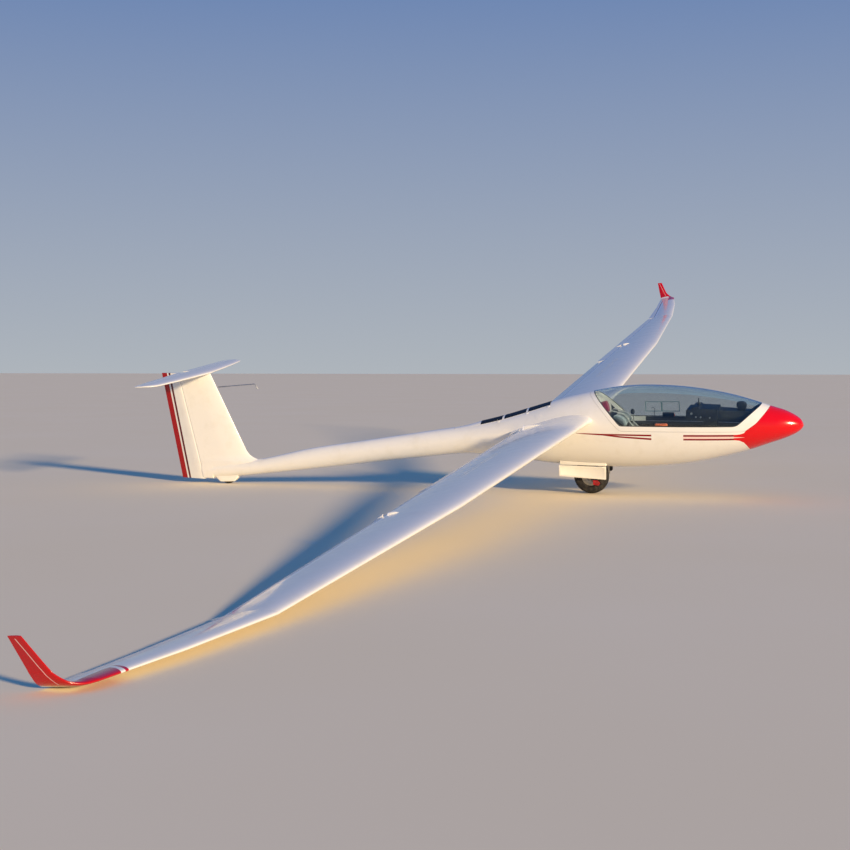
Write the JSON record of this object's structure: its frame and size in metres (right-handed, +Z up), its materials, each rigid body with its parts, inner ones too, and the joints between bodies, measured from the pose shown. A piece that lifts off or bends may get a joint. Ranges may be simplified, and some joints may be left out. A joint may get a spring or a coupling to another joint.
{
  "type": "sailplane glider",
  "caption": "Single-seat sailplane parked on its wheels with one wing tip down: long slender wings with flaps, ailerons, airbrakes and winglets, T-tail, clear canopy and stowed engine.",
  "frame": {"origin": "centre of the footprint's bounding box, on the ground", "axes": "+X to the nose, +Y to the left wing tip, +Z up from the ground; the airframe leans on its right wing tip"},
  "size_m": [6.699, 17.8496, 2.5898],
  "materials": {
    "gelcoat": "polished white gelcoat",
    "red_paint": "gloss deep red paint",
    "canopy_glazing": "clear acrylic",
    "tyre_rubber": "worn black rubber",
    "wheel_alloy": "cast aluminium",
    "brake_alloy": "anodised aluminium sheet",
    "gear_steel": "painted steel",
    "engine_metal": "cast engine block",
    "seat_shell": "painted glass fibre seat shell",
    "headrest_cloth": "maroon cloth pad",
    "panel_black": "matt black moulding"
  },
  "bodies": {
    "fuselage": {"wing_left": "gelcoat", "wing_right": "gelcoat", "wing_tip_left": "gelcoat", "wing_tip_right": "gelcoat", "winglet_left": "red_paint", "winglet_right": "red_paint", "fuselage": "gelcoat", "engine_block": "engine_metal", "stabilizer": "gelcoat", "main_axle": "gear_steel", "gear_leg_left": "gear_steel", "gear_leg_right": "gear_steel", "tow_hook": "gear_steel", "tail_axle": "gear_steel", "seat_pan": "seat_shell", "headrest": "headrest_cloth", "control_stick": "panel_black", "rudder_pedal_left": "wheel_alloy", "rudder_pedal_right": "wheel_alloy", "probe": "gear_steel"},
    "canopy": {"canopy_frame": "gelcoat", "canopy_glass": "canopy_glazing", "instrument_panel": "panel_black", "glare_shield": "panel_black"},
    "main_wheel": {"main_tyre": "tyre_rubber", "main_hub": "wheel_alloy"},
    "tail_wheel": {"tail_tyre": "tyre_rubber", "tail_hub": "wheel_alloy"},
    "elevator": {"elevator_left": "gelcoat", "elevator_right": "gelcoat"},
    "rudder": {"rudder": "gelcoat"},
    "gear_door_left": {"gear_door_left": "gelcoat"},
    "gear_door_right": {"gear_door_right": "gelcoat"},
    "aileron_left": {"aileron_left": "gelcoat"},
    "aileron_right": {"aileron_right": "gelcoat"},
    "flap_left": {"flap_left": "gelcoat"},
    "flap_right": {"flap_right": "gelcoat"},
    "tip_aileron_left": {"tip_aileron_left": "gelcoat"},
    "tip_aileron_right": {"tip_aileron_right": "gelcoat"},
    "airbrake_upper_left": {"airbrake_upper_left": "gelcoat"},
    "airbrake_upper_right": {"airbrake_upper_right": "gelcoat"},
    "airbrake_lower_left": {"airbrake_lower_left": "brake_alloy"},
    "airbrake_lower_right": {"airbrake_lower_right": "brake_alloy"},
    "engine_door_left": {"engine_door_left": "gelcoat"},
    "engine_door_right": {"engine_door_right": "gelcoat"}
  },
  "joints": [
    {"name": "main_wheel_spin", "type": "hinge", "parent": "fuselage", "child": "main_wheel", "pos_m": [1.3205, 0.16327, 0.1735], "axis": [0, 0.9914, 0.1306], "continuous": true},
    {"name": "tail_wheel_spin", "type": "hinge", "parent": "fuselage", "child": "tail_wheel", "pos_m": [-2.6375, 0.17307, 0.09914], "axis": [0, 0.9914, 0.1306], "continuous": true},
    {"name": "canopy_hinge", "type": "hinge", "parent": "fuselage", "child": "canopy", "pos_m": [3.0655, 0.06777, 0.89823], "axis": [0, 0.9914, 0.1306], "range_deg": [0, 50]},
    {"name": "gear_door_right_hinge", "type": "hinge", "parent": "fuselage", "child": "gear_door_right", "pos_m": [1.3205, 0.02547, 0.28546], "axis": [1, 0, 0], "range_deg": [-20, 10]},
    {"name": "gear_door_left_hinge", "type": "hinge", "parent": "fuselage", "child": "gear_door_left", "pos_m": [1.3205, 0.26737, 0.31733], "axis": [-1, 0, 0], "range_deg": [-20, 10]},
    {"name": "rudder_hinge", "type": "hinge", "parent": "fuselage", "child": "rudder", "pos_m": [-2.9195, 0.18091, 0.03966], "axis": [-0.201, -0.128, 0.9712], "range_deg": [-30, 30]},
    {"name": "elevator_hinge", "type": "hinge", "parent": "fuselage", "child": "elevator", "pos_m": [-3.0475, 0.02897, 1.19269], "axis": [0, 0.9914, 0.1306], "range_deg": [-20, 25]},
    {"name": "aileron_right_hinge", "type": "hinge", "parent": "fuselage", "child": "aileron_right", "pos_m": [0.84609, -5.46736, 0.18787], "axis": [-0.0247, 0.9961, 0.0848], "range_deg": [-10, 29]},
    {"name": "aileron_left_hinge", "type": "hinge", "parent": "fuselage", "child": "aileron_left", "pos_m": [0.84609, 5.59797, 1.64602], "axis": [0.0247, 0.9841, 0.1761], "range_deg": [-29, 10]},
    {"name": "flap_right_hinge", "type": "hinge", "parent": "fuselage", "child": "flap_right", "pos_m": [0.76015, -2.00082, 0.48381], "axis": [-0.0247, 0.9961, 0.0851], "range_deg": [-32, 15]},
    {"name": "flap_left_hinge", "type": "hinge", "parent": "fuselage", "child": "flap_left", "pos_m": [0.76015, 2.1731, 1.03384], "axis": [0.0247, 0.9841, 0.1758], "range_deg": [-32, 15]},
    {"name": "tip_aileron_right_hinge", "type": "hinge", "parent": "fuselage", "child": "tip_aileron_right", "pos_m": [0.87527, -7.92938, 0.02277], "axis": [0.0268, 0.9996, 0.0124], "range_deg": [-10, 29]},
    {"name": "tip_aileron_left_hinge", "type": "hinge", "parent": "fuselage", "child": "tip_aileron_left", "pos_m": [0.87527, 8.01871, 2.12436], "axis": [-0.0268, 0.9687, 0.2469], "range_deg": [-29, 10]},
    {"name": "airbrake_right_slide", "type": "slide", "parent": "fuselage", "child": "airbrake_upper_right", "axis": [-0.1477, -0.0913, 0.9848], "range_m": [0, 0.11]},
    {"name": "airbrake_left_slide", "type": "slide", "parent": "fuselage", "child": "airbrake_upper_left", "axis": [-0.1477, -0.1669, 0.9748], "range_m": [0, 0.11]},
    {"name": "airbrake_lower_right_slide", "type": "slide", "parent": "fuselage", "child": "airbrake_lower_right", "axis": [-0.1477, -0.0913, 0.9848], "range_m": [0, 0.055]},
    {"name": "airbrake_lower_left_slide", "type": "slide", "parent": "fuselage", "child": "airbrake_lower_left", "axis": [-0.1477, -0.1669, 0.9748], "range_m": [0, 0.055]},
    {"name": "engine_door_right_hinge", "type": "hinge", "parent": "fuselage", "child": "engine_door_right", "pos_m": [0.9365, -0.03322, 0.88392], "axis": [0.966, 0.009, 0.2582], "range_deg": [0, 85]},
    {"name": "engine_door_left_hinge", "type": "hinge", "parent": "fuselage", "child": "engine_door_left", "pos_m": [0.9365, 0.16903, 0.91057], "axis": [-0.966, 0.0756, -0.2471], "range_deg": [0, 85]}
  ],
  "couplings": [
    {"joint": "gear_door_left_hinge", "follows": "gear_door_right_hinge", "ratio": 1},
    {"joint": "aileron_left_hinge", "follows": "aileron_right_hinge", "ratio": -1},
    {"joint": "tip_aileron_right_hinge", "follows": "aileron_right_hinge", "ratio": 1},
    {"joint": "tip_aileron_left_hinge", "follows": "aileron_right_hinge", "ratio": -1},
    {"joint": "flap_left_hinge", "follows": "flap_right_hinge", "ratio": 1},
    {"joint": "airbrake_left_slide", "follows": "airbrake_right_slide", "ratio": 1},
    {"joint": "airbrake_lower_right_slide", "follows": "airbrake_right_slide", "ratio": 0.5},
    {"joint": "airbrake_lower_left_slide", "follows": "airbrake_right_slide", "ratio": 0.5},
    {"joint": "engine_door_left_hinge", "follows": "engine_door_right_hinge", "ratio": 1}
  ]
}
